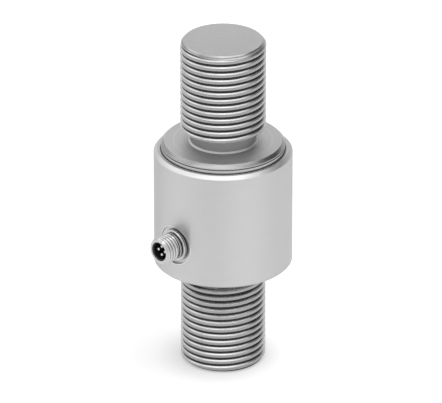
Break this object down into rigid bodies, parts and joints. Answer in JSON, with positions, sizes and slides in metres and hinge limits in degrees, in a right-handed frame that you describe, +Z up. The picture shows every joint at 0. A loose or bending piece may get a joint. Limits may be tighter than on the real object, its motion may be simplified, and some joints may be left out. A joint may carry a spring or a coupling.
{
  "type": "inline load cell",
  "caption": "Round inline load cell with a threaded stud at each end, a closed steel housing and a small plug connector on its side.",
  "frame": {"origin": "centre of the lower stud's end face", "axes": "+Z up along the load axis, towards the upper stud; the connector stands out towards -Y"},
  "size_m": [0.0388, 0.0447, 0.0979],
  "materials": {
    "steel": "fine turned stainless steel",
    "housing": "satin stainless steel",
    "connector": "turned stainless steel",
    "seal": "matt rubber",
    "insert": "matt black plastic",
    "contacts": "bright nickel-plated brass",
    "gauges": "amber polyimide film",
    "terminals": "film with tinned pads",
    "board": "green glass-fibre board",
    "fixings": "plain steel",
    "chip": "black moulded resin"
  },
  "bodies": {
    "root": {"load_body": "steel", "housing_sleeve": "housing", "housing_seal": "seal", "connector_shell": "connector", "connector_washer": "seal", "contact_insert": "insert", "bridge_board": "board", "board_spacers": "fixings", "board_screws": "fixings", "amplifier_chip": "chip", "trim_resistors": "chip", "contact_pin_1": "contacts", "contact_pin_2": "contacts", "contact_pin_3": "contacts", "contact_pin_4": "contacts", "strain_gauge_1": "gauges", "strain_gauge_2": "gauges", "strain_gauge_3": "gauges", "strain_gauge_4": "gauges", "gauge_terminal_1": "terminals", "gauge_terminal_2": "terminals", "gauge_terminal_3": "terminals", "gauge_terminal_4": "terminals"}
  },
  "joints": []
}
